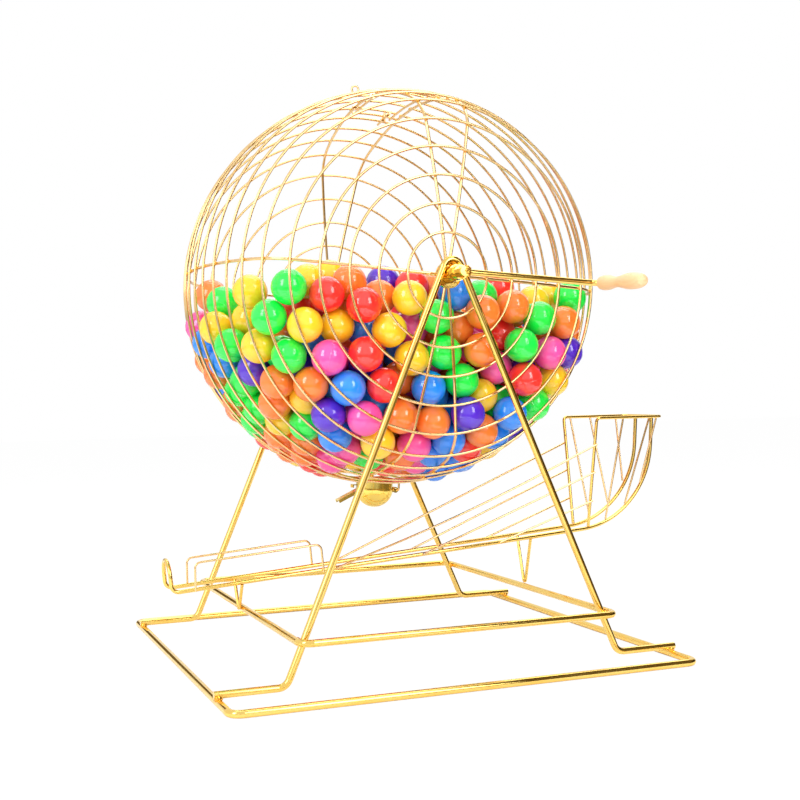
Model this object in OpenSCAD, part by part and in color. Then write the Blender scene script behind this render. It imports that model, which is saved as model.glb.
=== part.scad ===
// Ball draw cage: a round wire cage turned by a crank on a bent rod stand, with a chute and a basket below.
// Axes: X runs along the front of the base, Y away from the front and along the axle, Z up.
// The origin is on the floor under the middle of the base frame.

/* [Stand] */
// Thickness of the two A frames' rods
rod_d = 8; // [6:0.5:10]
// Thickness of the base frame's rod
base_rod_d = 8.5; // [6:0.5:10]
// Half width of the base frame, to the rod's centre line
base_half_w = 270; // [240:1:300]
// How far the base frame runs out past each A frame
base_overhang = 54; // [40:1:80]
// Bend radius of the base frame's corners
base_bend_r = 13; // [9:1:25]
// Height of the axle above the floor
axle_z = 446; // [430:1:480]
// Lean of each leg from the vertical
leg_angle = 23; // [20:0.5:26]
// Bend radius at the top of an A frame
apex_bend_r = 11; // [10:0.5:12]
// Bend radius where a leg turns into its foot
foot_bend_r = 13; // [9:1:20]
// How far a foot runs past the base frame's side rod
foot_over = 5; // [1:1:15]
// Thickness of the raised frame's rod
tray_rod_d = 8; // [5:0.5:9]
// Height of the raised frame that carries the chute
tray_z = 60; // [50:1:70]
// How far the raised frame runs past each A frame
tray_overhang = 20; // [14:1:30]

/* [Bearings and axle] */
// Diameter of the two axle stubs
axle_d = 10; // [8:0.5:12]
// Outside diameter of a bearing sleeve
sleeve_d = 18; // [16:0.5:19]
// Length of a bearing sleeve
sleeve_len = 18; // [12:1:24]
// Thickness of the washer outside each sleeve
washer_t = 2; // [1:0.5:3]
// Diameter of a washer
washer_d = 19; // [16:0.5:22]
// Running clearance between axle and sleeve, on the radius
run_fit = 0.05; // [0.02:0.01:0.1]
// Play between turning and fixed end faces
side_play = 0.4; // [0.3:0.1:1]

/* [Cage] */
// How far the cage is turned on its axle
cage_turn = 3.6; // [-45:0.1:45]
// Largest radius of the cage, to the ring wire's centre
cage_r = 242; // [230:1:250]
// Radius of the barrel's lengthwise curve
barrel_arc_r = 420; // [400:5:500]
// Radius of the rounded shoulder
shoulder_r = 75; // [65:1:85]
// Radius at which the shoulder meets the end dome
knee_r = 180; // [176:1:184]
// Half length of the cage at its poles
pole_y = 210.6; // [206:0.2:216]
// Radius of curvature of each end dome
dome_r = 866; // [800:1:1000]
// Thickness of the ring wires
ring_d = 3; // [2.5:0.1:3.4]
// Thickness of the lengthwise wires
rib_d = 3.5; // [3:0.1:4]
// Spacing of the rings along the curve
ring_pitch = 32.6; // [32:0.1:33]
// Half angle between the two wires beside the door
pair_angle = 8.3; // [8:0.1:9]
// Angle from the right lengthwise wire round to the left one, welded a little off opposite
left_rib_angle = 178.2; // [174:0.1:186]
// Diameter of the hub plates
hub_d = 30; // [28:1:36]
// Thickness of a hub plate
hub_t = 3.6; // [3:0.2:5]

/* [Filling door] */
// Thickness of the door's wires
door_wire_d = 3; // [2.5:0.1:3.4]
// Half angle between the door's side wires
door_angle = 6.2; // [5.8:0.1:6.5]
// How far the hinge eyes lie from the middle of the door
eye_y = 32.6; // [28:0.2:38]
// Thickness of the tails of the hinge eyes
eye_wire_d = 2.5; // [2:0.1:2.8]
// Length of a hinge eye along the wire
eye_len = 4; // [3:0.2:6]
// Wall of a hinge eye
eye_wall = 1.4; // [1:0.1:1.6]
// Room between a hinge eye and the wire it turns on
eye_play = 0.5; // [0.4:0.05:0.8]
// Thickness of the sliding bolt
bolt_d = 3; // [2.5:0.1:3.2]
// Angle of the sliding bolt, counted from the right lengthwise wire
bolt_angle = 86; // [85.5:0.1:87]
// Height of the bolt's finger hook
bolt_hook_h = 11; // [9:0.5:14]
// Height of the stay loop that the open door leans on
stay_h = 8; // [6:0.5:12]
// Angle from the middle of the door to the stay loop
stay_angle = 14.9; // [13:0.1:20]

/* [Ball outlet] */
// Inside diameter of the outlet collar
collar_in = 43; // [42:0.2:44]
// Wall of the outlet collar
collar_wall = 1.5; // [1.2:0.1:2]
// Thickness of the cup's sheet
cup_wall = 1.4; // [1:0.1:2]
// How far the cup's rim stands out past the collar's wall
cup_rim_over = 0.6; // [0.4:0.1:1.5]
// Length of the release lever
lever_len = 30; // [22:1:36]
// Width of the release lever
lever_w = 14; // [10:1:18]
// Slope of the release lever
lever_slope = 28; // [15:1:35]
// Wire thickness of the outlet's hinge wire
gate_wire_d = 2.6; // [2:0.1:3]

/* [Crank] */
// Throw of the crank, axle to handle
crank_throw = 166; // [140:1:180]
// Thickness of the crank's rod
crank_d = 7; // [6:0.5:8]
// Outside diameter of the crank's boss
boss_d = 16; // [15:0.5:18]
// Length of the crank's boss
boss_len = 11.5; // [10:0.5:14]
// How far the handle's spindle sags from the axle's direction
spindle_sag = 3; // [0:0.5:5]
// Length of the wooden grip
grip_len = 84; // [70:1:110]
// Largest diameter of the wooden grip
grip_d = 18; // [17:0.5:22]

/* [Chute and basket] */
// Thickness of the chute's two rails
rail_d = 5; // [4:0.5:6]
// Half distance between the rails' centres
rail_y = 20; // [16:0.5:21]
// Height of the rails above the origin
rail_z = 109.5; // [104:0.5:114]
// Slope of the rails
rail_slope = 4.5; // [3:0.1:6]
// Where the low end of the chute turns up
chute_end_x = -277; // [-290:1:-265]
// Height of the top of the end loop
loop_z = 124; // [118:1:130]
// Half width of the basket's rim
rim_half_w = 45; // [38:1:50]
// Height of the basket's rim
rim_z = 278; // [268:1:290]
// Where the rim starts
rim_start_x = 280; // [276:1:284]
// Where the rim ends
rim_end_x = 379; // [374:1:386]
// Thickness of the rim's rod
rim_d = 4; // [3:0.5:5]
// Thickness of the thin wires of basket, guards and sides
thin_d = 2.6; // [2:0.1:3]
// Bend radius of the basket's main ribs
basket_bend_r = 117; // [100:1:120]
// Height of the low guards above the rails
guard_h = 32; // [26:1:40]
// Where the low guards start
guard_start_x = -250; // [-255:1:-235]
// Where the low guards end
guard_end_x = -92; // [-110:1:-80]
// Thickness of the V shaped props
prop_d = 4; // [3:0.5:5]
// How far the foot of each prop lies below the middle of the raised frame's rod
prop_drop = 3; // [0:0.5:4]

/* [Balls] */
// Diameter of the balls
ball_d = 40; // [38:0.5:40]
// Wall of the hollow balls
ball_wall = 0.5; // [0.3:0.1:1]
// Distance between neighbouring balls' centres
ball_pitch = 40.5; // [40.4:0.1:42]
// Height of the top of the pile
pile_z = 437; // [300:1:440]

/* [Hidden] */
$fn = 48;

gold = [0.93, 0.74, 0.33];
pale_gold = [0.97, 0.86, 0.55];
wood = [0.93, 0.82, 0.64];

// Gap left between pieces that are welded to each other
weld_gap = 0.02;
// Gap left between a shaft and a bore that are fixed to each other
fixed_fit = 0.02;
// Gap left between moving pieces that rest on each other
rest_gap = 0.3;
// How much thinner a bend is than the straight stretches beside it, and how far it runs into them
bend_thin = 0.1;
bend_lap = 0.3;
// Smoothness of the long wires: steps round the ring and round the wire itself
ring_steps = 180;
wire_steps = 24;

rod_r = rod_d / 2;
axle_r = axle_d / 2;
sleeve_r = sleeve_d / 2;

// Heights and places along the axle, all counted outwards from the middle
rib_lay = (ring_d + rib_d) / 2 + weld_gap;
rib_pole_y = pole_y - rib_lay;
hub_in_y = rib_pole_y + rib_d / 2 + weld_gap;
hub_out_y = hub_in_y + hub_t;
sleeve_in_y = hub_out_y + side_play;
frame_y = sleeve_in_y + sleeve_len / 2;
sleeve_out_y = sleeve_in_y + sleeve_len;
washer_in_y = sleeve_out_y + side_play;
boss_in_y = washer_in_y + washer_t + weld_gap;
boss_out_y = boss_in_y + boss_len;
arm_gap = 0.5;
axle_past_arm = 3;
arm_y = boss_out_y + arm_gap + crank_d / 2;
axle_tip_y = arm_y + crank_d / 2 + axle_past_arm;

// Leg geometry: the sleeve sits in the crook of both legs
apex_z = axle_z + (sleeve_r + rod_r + weld_gap) / sin(leg_angle);
foot_z = base_rod_d + rod_r + weld_gap;
leg_foot_x = (apex_z - foot_z) * tan(leg_angle);
foot_end_x = base_half_w + foot_over;
base_half_d = frame_y + base_overhang;
tray_half_d = frame_y + tray_overhang;
tray_half_w = (apex_z - tray_z) * tan(leg_angle)
    + (rod_r + tray_rod_d / 2 + weld_gap) / cos(leg_angle);

// Cage curve in the half plane of radius and Y: barrel arc, shoulder arc, end dome arc
barrel_c = [cage_r - barrel_arc_r, 0];
dome_c = [0, pole_y - dome_r];
knee = [knee_r, dome_c.y + sqrt(dome_r * dome_r - knee_r * knee_r)];
knee_vec = knee - barrel_c;
knee_dist = norm(knee_vec);
inner_gap = barrel_arc_r - shoulder_r;
shoulder_cos = (knee_dist * knee_dist + inner_gap * inner_gap - shoulder_r * shoulder_r)
    / (2 * knee_dist * inner_gap);
shoulder_a = atan2(knee_vec.y, knee_vec.x) - acos(shoulder_cos);
shoulder_c = barrel_c + inner_gap * [cos(shoulder_a), sin(shoulder_a)];
knee_a = atan2(knee.y - shoulder_c.y, knee.x - shoulder_c.x);
barrel_len = barrel_arc_r * shoulder_a * PI / 180;
shoulder_len = shoulder_r * (knee_a - shoulder_a) * PI / 180;
dome_knee_a = atan2(knee.y - dome_c.y, knee.x);

// Chute and basket
rail_r = rail_d / 2;
rib_top_z = rim_z - rim_d / 2 - weld_gap;
basket_lean = 3.6;
basket_corner_x = (rim_end_x - tan(basket_lean) * (rim_z - rail_z))
    / (1 - tan(basket_lean) * tan(rail_slope));
basket_turn = 90 - basket_lean - rail_slope;
basket_start_x = basket_corner_x - basket_bend_r * tan(basket_turn / 2) * cos(rail_slope);
post_foot_x = basket_start_x + 9;
low_bend_r = 9;
guard_y = rail_y + rail_r + thin_d / 2 + weld_gap;

// Ball outlet, in the cage's own frame
collar_r = collar_in / 2 + collar_wall;
collar_low_z = -(cage_r + 7);
cup_r = collar_r + cup_rim_over;
cup_z = collar_low_z - rest_gap;
hinge_x = cup_r + 3;
hinge_z = cup_z - 1.5;
gate_eye_r = gate_wire_d / 2 + eye_play + 0.6;

// Filling door, in the cage's own frame
door_lift = rest_gap - weld_gap;
door_end_y = ring_pitch * 2;

function unit(v) = v / norm(v);

// How far short of a rod's middle a thinner one ends so that its flat end just clears the rod's skin
function seat_trim(dir, rod_dir, rod_radius, half) =
    let (c = abs(unit(dir) * unit(rod_dir)))
    (rod_radius + weld_gap + half * c) / sqrt(1 - c * c);

function rail_at(x) = rail_z + tan(rail_slope) * x;
function swap_side(p) = [p.x, -p.y, p.z];

// Point on the cage curve at a length s from the middle, as [radius, Y, angle of the outward normal]
function curve_at(s) =
    s <= barrel_len ?
        let (a = s / barrel_arc_r * 180 / PI)
        [barrel_c.x + barrel_arc_r * cos(a), barrel_arc_r * sin(a), a] :
    s <= barrel_len + shoulder_len ?
        let (a = shoulder_a + (s - barrel_len) / shoulder_r * 180 / PI)
        [shoulder_c.x + shoulder_r * cos(a), shoulder_c.y + shoulder_r * sin(a), a] :
        let (a = dome_knee_a + (s - barrel_len - shoulder_len) / dome_r * 180 / PI)
        [dome_r * cos(a), dome_c.y + dome_r * sin(a), a];

function barrel_r_at(y) = barrel_c.x + sqrt(barrel_arc_r * barrel_arc_r - y * y);
function ring_s(i) = (i + 0.5) * ring_pitch;

// Places a child whose Z axis is to run along v
module along(p, v) {
    z = unit(v);
    side = abs(z.z) < 0.9 ? [0, 0, 1] : [1, 0, 0];
    x = unit(cross(side, z));
    y = cross(z, x);
    multmatrix([
        [x.x, y.x, z.x, p.x],
        [x.y, y.y, z.y, p.y],
        [x.z, y.z, z.z, p.z]
    ]) children();
}

// Straight rod from a to b, cut short at each end
module strut(a, b, d, trim_a = 0, trim_b = 0) {
    along(a + unit(b - a) * trim_a, b - a)
        cylinder(h = norm(b - a) - trim_a - trim_b, d = d);
}

// Round bend of a rod at p, from direction u to direction v
module bend(p, u, v, r, d) {
    turn = acos(u * v);
    n = unit(cross(u, v));
    c = p + unit(v - u) * r / cos(turn / 2);
    x = unit(p - u * r * tan(turn / 2) - c);
    lap = bend_lap / r * 180 / PI;
    multmatrix([
        [x.x, u.x, n.x, c.x],
        [x.y, u.y, n.y, c.y],
        [x.z, u.z, n.z, c.z]
    ])
        rotate([0, 0, -lap]) rotate_extrude(angle = turn + 2 * lap, $fn = ring_steps)
            translate([r, 0]) circle(d = d - bend_thin, $fn = wire_steps);
}

function trim_at(p, r, i) =
    let (u = unit(p[i] - p[i - 1]), v = unit(p[i + 1] - p[i]))
    r[i] * tan(acos(u * v) / 2);

// Bent rod through the points p, with a bend radius r for each point; the ends have none
module bent_rod(p, r, d) {
    last = len(p) - 1;
    for (i = [0 : last - 1]) {
        cut_a = i == 0 ? 0 : trim_at(p, r, i);
        cut_b = i == last - 1 ? 0 : trim_at(p, r, i + 1);
        strut(p[i], p[i + 1], d, cut_a, cut_b);
    }
    for (i = [1 : 1 : last - 1])
        bend(p[i], unit(p[i] - p[i - 1]), unit(p[i + 1] - p[i]), r[i], d);
}

// Rod bent into a closed rectangle lying flat
module rod_loop(half_w, half_d, z, r, d) {
    bent_rod([
        [0, -half_d, z], [half_w, -half_d, z], [half_w, half_d, z],
        [-half_w, half_d, z], [-half_w, -half_d, z], [0, -half_d, z]
    ], [0, r, r, r, r, 0], d);
}

// Whatever turns with the cage, drawn with the axle on the Y axis
module in_cage() {
    translate([0, 0, axle_z]) rotate([0, cage_turn, 0]) children();
}

// Turns the drawing plane of radius and Y to the angle a round the axle
module at_angle(a) {
    rotate([0, -a, 0]) children();
}

// Wire along an arc in the drawing plane
module arc_wire(c, r, a0, a1, d) {
    translate([c.x, c.y, 0]) rotate([0, 0, a0])
        rotate_extrude(angle = a1 - a0, $fn = 2 * ring_steps)
            translate([r, 0]) circle(d = d, $fn = wire_steps);
}

// Ring wire round the axle, from angle a0 over a sweep
module ring_wire(r, y, d, a0 = 0, sweep = 360) {
    translate([0, y, 0]) rotate([90, 0, 0]) rotate([0, 0, a0])
        rotate_extrude(angle = sweep, $fn = ring_steps)
            translate([r, 0]) circle(d = d, $fn = wire_steps);
}

module base_frame() {
    color(gold) rod_loop(base_half_w, base_half_d, base_rod_d / 2, base_bend_r, base_rod_d);
}

module a_frame(y) {
    color(gold) bent_rod([
        [-foot_end_x, y, foot_z], [-leg_foot_x, y, foot_z], [0, y, apex_z],
        [leg_foot_x, y, foot_z], [foot_end_x, y, foot_z]
    ], [0, foot_bend_r, apex_bend_r, foot_bend_r, 0], rod_d);
}

module front_a_frame() a_frame(-frame_y);
module rear_a_frame() a_frame(frame_y);

module raised_frame() {
    color(gold) rod_loop(tray_half_w, tray_half_d, tray_z, base_bend_r, tray_rod_d);
}

// Turned piece with its axis on the axle, from y0 outwards, on the front (-1) or rear (1) side
module on_axle(side, y0, h, d) {
    rotate([-side * 90, 0, 0]) translate([0, 0, y0]) cylinder(h = h, d = d);
}

module bearing_sleeve(side) {
    color(gold) translate([0, 0, axle_z]) difference() {
        on_axle(side, sleeve_in_y, sleeve_len, sleeve_d);
        on_axle(side, sleeve_in_y - 1, sleeve_len + 2, axle_d + 2 * run_fit);
    }
}

module front_bearing_sleeve() bearing_sleeve(-1);
module rear_bearing_sleeve() bearing_sleeve(1);

// One rod makes both rails, the loop at the low end and the two main ribs of the basket
module chute_rail_rod() {
    top = [rim_end_x - tan(basket_lean) * (rim_z - rib_top_z), -rail_y, rib_top_z];
    corner = [basket_corner_x, -rail_y, rail_at(basket_corner_x)];
    low = [chute_end_x, -rail_y, rail_at(chute_end_x)];
    loop = [chute_end_x - 3, -rail_y, loop_z];
    color(gold) bent_rod(
        [top, corner, low, loop, swap_side(loop), swap_side(low), swap_side(corner), swap_side(top)],
        [0, basket_bend_r, low_bend_r, rail_y - 1, rail_y - 1, low_bend_r, basket_bend_r, 0],
        rail_d
    );
}

module guard_hoop(side) {
    y = side * guard_y;
    x0 = guard_start_x;
    x1 = guard_end_x;
    color(pale_gold) bent_rod([
        [x0, y, rail_at(x0) - 2], [x0, y, rail_at(x0) + guard_h],
        [x1 - 3, y, rail_at(x1 - 3) + guard_h], [x1, y, rail_at(x1) - 2]
    ], [0, 7, 7, 0], thin_d);
}

module front_guard_hoop() guard_hoop(-1);
module rear_guard_hoop() guard_hoop(1);

// V shaped prop from the raised frame's side rod up to both rails
module prop(side) {
    x = side * (tray_half_w + tray_rod_d / 2 + prop_d / 2 + weld_gap);
    foot = [x, 0, tray_z - prop_drop];
    top = [x, rail_y, rail_at(x)];
    end = top - unit(top - foot) * seat_trim(top - foot, [1, 0, tan(rail_slope)], rail_r, prop_d / 2);
    color(gold) bent_rod([swap_side(end), foot, end], [0, 3, 0], prop_d);
}

module left_prop() prop(-1);
module right_prop() prop(1);

// Corner post of the basket, from its foot over the rail to the rim
function post_at(z) =
    let (foot_z = main_rib_at(post_foot_x).z, t = (z - foot_z) / (rim_z - foot_z))
    [post_foot_x + (rim_start_x - post_foot_x) * t, rail_y + (rim_half_w - rail_y) * t, z];

// Where the side wires start along the rails, how high they end on the posts, and how far they sag
front_wire_x = [-76, 39, 146];
rear_wire_x = [-65, 39, 146];
side_wire_z = [243, 206, 168];
front_wire_sag = [7, 0, 0];
rear_wire_sag = [0, 0, 0];
side_wire_bend = 2500;

// Wires from the rail up to the basket's corner post, laid against their outer sides
module side_wires(side, starts, sags) {
    post_lean = atan((rim_half_w - rail_y) / (rim_z - rail_at(post_foot_x)));
    post_side = (rim_d / 2 + thin_d / 2 + weld_gap) / cos(post_lean) + 0.1;
    color(pale_gold) for (i = [0 : len(starts) - 1]) {
        p = post_at(side_wire_z[i]);
        a = [starts[i], side * guard_y, rail_at(starts[i])];
        post = [p.x, side * (p.y + post_side), p.z];
        b = post + unit(post - a) * 2;
        if (sags[i] > 0)
            bent_rod([a, (a + b) / 2 - [0, 0, 1.4 * sags[i]], b], [0, side_wire_bend, 0], thin_d);
        else
            strut(a, b, thin_d);
    }
}

module front_side_wires() side_wires(-1, front_wire_x, front_wire_sag);
module rear_side_wires() side_wires(1, rear_wire_x, rear_wire_sag);

// Rim of the basket, bent down at its open end into the two corner posts
module basket_rim() {
    top = [rim_start_x, -rim_half_w, rim_z];
    rail_point = swap_side(main_rib_at(post_foot_x));
    foot = rail_point + unit(top - rail_point)
        * seat_trim(top - rail_point, main_rib_dir(post_foot_x), rail_r, rim_d / 2);
    end = [rim_end_x, -rim_half_w, rim_z];
    color(gold) bent_rod(
        [foot, top, end, swap_side(end), swap_side(top), swap_side(foot)],
        [0, 5, 7, 7, 5, 0], rim_d
    );
}

// Point on the basket's main rib where the bend stands over x
function main_rib_at(x) =
    let (
        cx = basket_start_x - basket_bend_r * sin(rail_slope),
        cz = rail_at(basket_start_x) + basket_bend_r * cos(rail_slope)
    )
    [x, rail_y, cz - sqrt(basket_bend_r * basket_bend_r - (x - cx) * (x - cx))];

// Direction of the main rib over x
function main_rib_dir(x) =
    let (s = (x - basket_start_x + basket_bend_r * sin(rail_slope)) / basket_bend_r)
    [sqrt(1 - s * s), 0, s];

rib_foot_x = [304, 333, 357];
front_rib_top_x = [320, 360, 371];
rear_rib_top_x = [290, 321, 362];

module basket_ribs(side, tops) {
    color(pale_gold) for (i = [0 : len(rib_foot_x) - 1]) {
        foot = main_rib_at(rib_foot_x[i]);
        a = [foot.x, side * foot.y, foot.z];
        b = [tops[i], side * rim_half_w, rim_z];
        foot_trim = seat_trim(b - a, main_rib_dir(rib_foot_x[i]), rail_r, thin_d / 2);
        top_trim = seat_trim(b - a, [1, 0, 0], rim_d / 2, thin_d / 2);
        strut(a, b, thin_d, foot_trim + 0.1, top_trim + 0.1);
    }
}

module front_basket_ribs() basket_ribs(-1, front_rib_top_x);
module rear_basket_ribs() basket_ribs(1, rear_rib_top_x);

module front_axle() {
    color(gold) in_cage() on_axle(-1, rib_pole_y - 2, axle_tip_y - rib_pole_y + 2, axle_d);
}

rear_collar_len = 10;
rear_collar_d = 20;

module rear_axle() {
    color(gold) in_cage()
        on_axle(1, rib_pole_y - 2, boss_in_y + rear_collar_len + 2 - rib_pole_y + 2, axle_d);
}

// Dished plate that carries the lengthwise wires' ends
module hub_plate(side) {
    dish_r = 22;
    dish_depth = hub_t - 1.4;
    color(gold) in_cage() difference() {
        on_axle(side, hub_in_y, hub_t, hub_d);
        on_axle(side, hub_in_y - 1, hub_t + 2, axle_d + 2 * fixed_fit);
        translate([0, side * (hub_out_y - dish_depth + dish_r), 0]) sphere(r = dish_r);
    }
}

module front_hub_plate() hub_plate(-1);
module rear_hub_plate() hub_plate(1);

module axle_washer(side) {
    color(pale_gold) in_cage() difference() {
        on_axle(side, washer_in_y, washer_t, washer_d);
        on_axle(side, washer_in_y - 1, washer_t + 2, axle_d + 2 * run_fit);
    }
}

module axle_washers() {
    axle_washer(-1);
    axle_washer(1);
}

// Rings number i0 to i1 counted from the middle, on the front (-1) or rear (1) half
module rings(side, i0, i1) {
    color(pale_gold) in_cage() for (i = [i0 : i1]) {
        p = curve_at(ring_s(i));
        ring_wire(p[0], side * p[1], ring_d);
    }
}

// Front and rear ring number i with a gap between the two wires beside the door
module door_cut_rings(i) {
    p = curve_at(ring_s(i));
    for (side = [-1, 1])
        ring_wire(p[0], side * p[1], ring_d, 90 + pair_angle, 360 - 2 * pair_angle);
}

module front_dome_rings() rings(-1, 6, 10);
module rear_dome_rings() rings(1, 6, 10);
module front_shoulder_rings() rings(-1, 4, 5);
module rear_shoulder_rings() rings(1, 4, 5);
module front_barrel_rings() rings(-1, 2, 3);
module rear_barrel_rings() rings(1, 2, 3);

// The four middle rings stop at the door, and the inner two of them also at the outlet's collar
module door_side_rings() {
    color(pale_gold) in_cage() door_cut_rings(1);
}

module outlet_rings() {
    color(pale_gold) in_cage() difference() {
        door_cut_rings(0);
        translate([0, 0, -cage_r - 20]) cylinder(h = 40, r = collar_r + weld_gap);
    }
}

// Lengthwise wire from hub to hub, laid against the inner side of the rings
module rib_wire(a) {
    r_barrel = barrel_arc_r - rib_lay;
    r_shoulder = shoulder_r - rib_lay;
    r_dome = dome_r - rib_lay;
    far = shoulder_c - dome_c;
    knee_cos = (far * far + r_dome * r_dome - r_shoulder * r_shoulder) / (2 * norm(far) * r_dome);
    bend_a = atan2(far.y, far.x) - acos(knee_cos);
    corner = dome_c + r_dome * [cos(bend_a), sin(bend_a)];
    corner_a = atan2(corner.y - shoulder_c.y, corner.x - shoulder_c.x);
    end_r = (rib_d + 0.15) / (2 * sin(pair_angle));
    lap = bend_lap / r_shoulder * 180 / PI;
    color(pale_gold) in_cage() at_angle(a) {
        arc_wire(barrel_c, r_barrel, -shoulder_a, shoulder_a, rib_d);
        for (m = [0, 1]) mirror([0, m, 0]) {
            arc_wire(shoulder_c, r_shoulder, shoulder_a - lap, corner_a, rib_d - bend_thin);
            arc_wire(dome_c, r_dome, bend_a, acos(end_r / r_dome), rib_d);
            translate([corner.x, corner.y, 0]) sphere(d = rib_d + bend_thin);
        }
    }
}

module door_rib_left() rib_wire(90 + pair_angle);
module door_rib_right() rib_wire(90 - pair_angle);
module left_rib() rib_wire(left_rib_angle);
module right_rib() rib_wire(0);
module outlet_rib_left() rib_wire(270 - pair_angle);
module outlet_rib_right() rib_wire(270 + pair_angle);

// Short tube that lets one ball at a time down into the cup
module outlet_collar() {
    color(gold) in_cage() translate([0, 0, collar_low_z]) difference() {
        cylinder(h = 13, r = collar_r);
        translate([0, 0, -1]) cylinder(h = 15, d = collar_in);
    }
}

// Bent wire under the two middle rings on which the cup swings
module outlet_hinge_wire() {
    y = curve_at(ring_s(0))[1];
    top_z = -sqrt(pow(curve_at(ring_s(0))[0], 2) - hinge_x * hinge_x) - ring_d / 2 - 0.1;
    color(gold) in_cage() bent_rod([
        [hinge_x, -y, top_z], [hinge_x, -y, hinge_z], [hinge_x, y, hinge_z], [hinge_x, y, top_z]
    ], [0, 3, 3, 0], gate_wire_d);
}

// Bent strip on the collar that the lever's root meets when the cup is shut
module outlet_stop() {
    t = 1.2;
    x1 = -collar_r - 7;
    color(gold) in_cage() {
        difference() {
            translate([x1, -5, collar_low_z + 3]) cube([7.5, 10, t]);
            translate([0, 0, collar_low_z]) cylinder(h = 20, r = collar_r + weld_gap);
        }
        translate([x1, -5, cup_z + rest_gap]) cube([t, 10, collar_low_z + 3 + t - cup_z - rest_gap]);
    }
}

// Hemispherical cup with the eye strap it swings on
module outlet_cup() {
    color(gold) in_cage() {
        difference() {
            translate([0, 0, cup_z]) sphere(r = cup_r);
            translate([0, 0, cup_z]) sphere(r = cup_r - cup_wall);
            translate([-50, -50, cup_z]) cube(100);
        }
        difference() {
            union() {
                translate([hinge_x, -6, hinge_z]) rotate([-90, 0, 0])
                    cylinder(h = 12, r = gate_eye_r + 1.2);
                translate([cup_r - 2.2, -6, cup_z - 4]) cube([hinge_x - cup_r + 2.2, 12, 1.6]);
            }
            translate([hinge_x, -7, hinge_z]) rotate([-90, 0, 0])
                cylinder(h = 14, r = gate_eye_r);
            translate([0, 0, cup_z]) sphere(r = cup_r - cup_wall / 2);
        }
    }
}

// Channel shaped lever fixed to the cup opposite its hinge
module release_lever() {
    t = 1.3;
    flange = 4;
    color(gold) in_cage() difference() {
        translate([-cup_r + 1, 0, cup_z - 1.2]) rotate([0, -lever_slope, 0])
            translate([-lever_len, -lever_w / 2, -flange]) difference() {
                cube([lever_len, lever_w, flange]);
                translate([-1, t, -1]) cube([lever_len + 2, lever_w - 2 * t, flange + 1 - t]);
            }
        translate([0, 0, cup_z]) sphere(r = cup_r + weld_gap);
    }
}

// Small upright loop on a ring, left of the door, for the opened door to lean on
module door_stay_loop() {
    p = curve_at(ring_s(1));
    wire = 2.4;
    half = 4;
    foot_r = p[0] + ring_d / 2 + wire / 2 + weld_gap;
    color(gold) in_cage() translate([0, -p[1], 0]) at_angle(90 + stay_angle) bent_rod([
        [foot_r - wire / 2, 0, -half], [foot_r + stay_h - wire, 0, -half],
        [foot_r + stay_h - wire, 0, half], [foot_r - wire / 2, 0, half]
    ], [0, 3, 3, 0], wire);
}

screw_d = 4;
set_screw_len = boss_d / 2 - axle_r + 0.6;
boss_screw_at = 6;

module crank_boss() {
    color(gold) in_cage() difference() {
        on_axle(-1, boss_in_y, boss_len, boss_d);
        on_axle(-1, boss_in_y - 1, boss_len + 2, axle_d + 2 * fixed_fit);
        translate([0, -boss_in_y - boss_screw_at, 0]) cylinder(h = boss_d, d = screw_d + 2 * fixed_fit);
    }
}

// Places a piece of the handle on the spindle, with its Z axis outwards from the middle of the crank arm
module on_spindle(z) {
    in_cage() translate([crank_throw, -arm_y, 0]) rotate([90 + spindle_sag, 0, 0])
        translate([0, 0, z]) children();
}

// Crank arm and handle spindle, one bent rod
module crank_rod() {
    color(gold) difference() {
        in_cage() bent_rod([
            [0, -arm_y, 0], [crank_throw, -arm_y, 0],
            [crank_throw, -arm_y - spindle_len * cos(spindle_sag), -spindle_len * sin(spindle_sag)]
        ], [0, 9, 0], crank_d);
        in_cage() on_axle(-1, arm_y - 20, 40, axle_d + 2 * weld_gap);
        on_spindle(spindle_len - grip_screw_len - 1)
            cylinder(h = grip_screw_len + 3, d = grip_screw_d + 2 * fixed_fit);
    }
}

module rear_collar() {
    color(gold) in_cage() difference() {
        on_axle(1, boss_in_y, rear_collar_len, rear_collar_d);
        on_axle(1, boss_in_y - 1, rear_collar_len + 2, axle_d + 2 * fixed_fit);
        translate([0, boss_in_y + rear_collar_len / 2, 0])
            cylinder(h = rear_collar_d, d = screw_d + 2 * fixed_fit);
    }
}

// Set screw with a hexagon socket, standing on the axle at y
module set_screw(y) {
    color([0.6, 0.48, 0.25]) in_cage() translate([0, y, axle_r + weld_gap]) difference() {
        cylinder(h = set_screw_len, d = screw_d);
        translate([0, 0, set_screw_len - 2]) cylinder(h = 3, d = 2.3, $fn = 6);
    }
}

module set_screws() {
    set_screw(-boss_in_y - boss_screw_at);
    set_screw(boss_in_y + rear_collar_len / 2);
}

grip_start = 11;
grip_end = grip_start + grip_len;
pocket_d = 10;
pocket_depth = 9;
grip_screw_d = 3;
grip_screw_len = 12;
button_rise = 2;
button_stem = 4.5;
spindle_len = grip_end - pocket_depth - rest_gap;

// Half thickness of the grip at a share t of its length: collar, waist, swell and rounded nose
function grip_half(t) =
    t < 0.12 ? grip_d * (0.42 + 0.05 * sin(t / 0.12 * 90)) :
    t < 0.38 ? grip_d * (0.4 + 0.07 * cos((t - 0.12) / 0.26 * 180)) :
    t < 0.72 ? grip_d * (0.415 - 0.085 * cos((t - 0.38) / 0.34 * 180)) :
    grip_d * 0.5 * sqrt(1 - pow((t - 0.72) / 0.28, 3) * 0.55);

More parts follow.
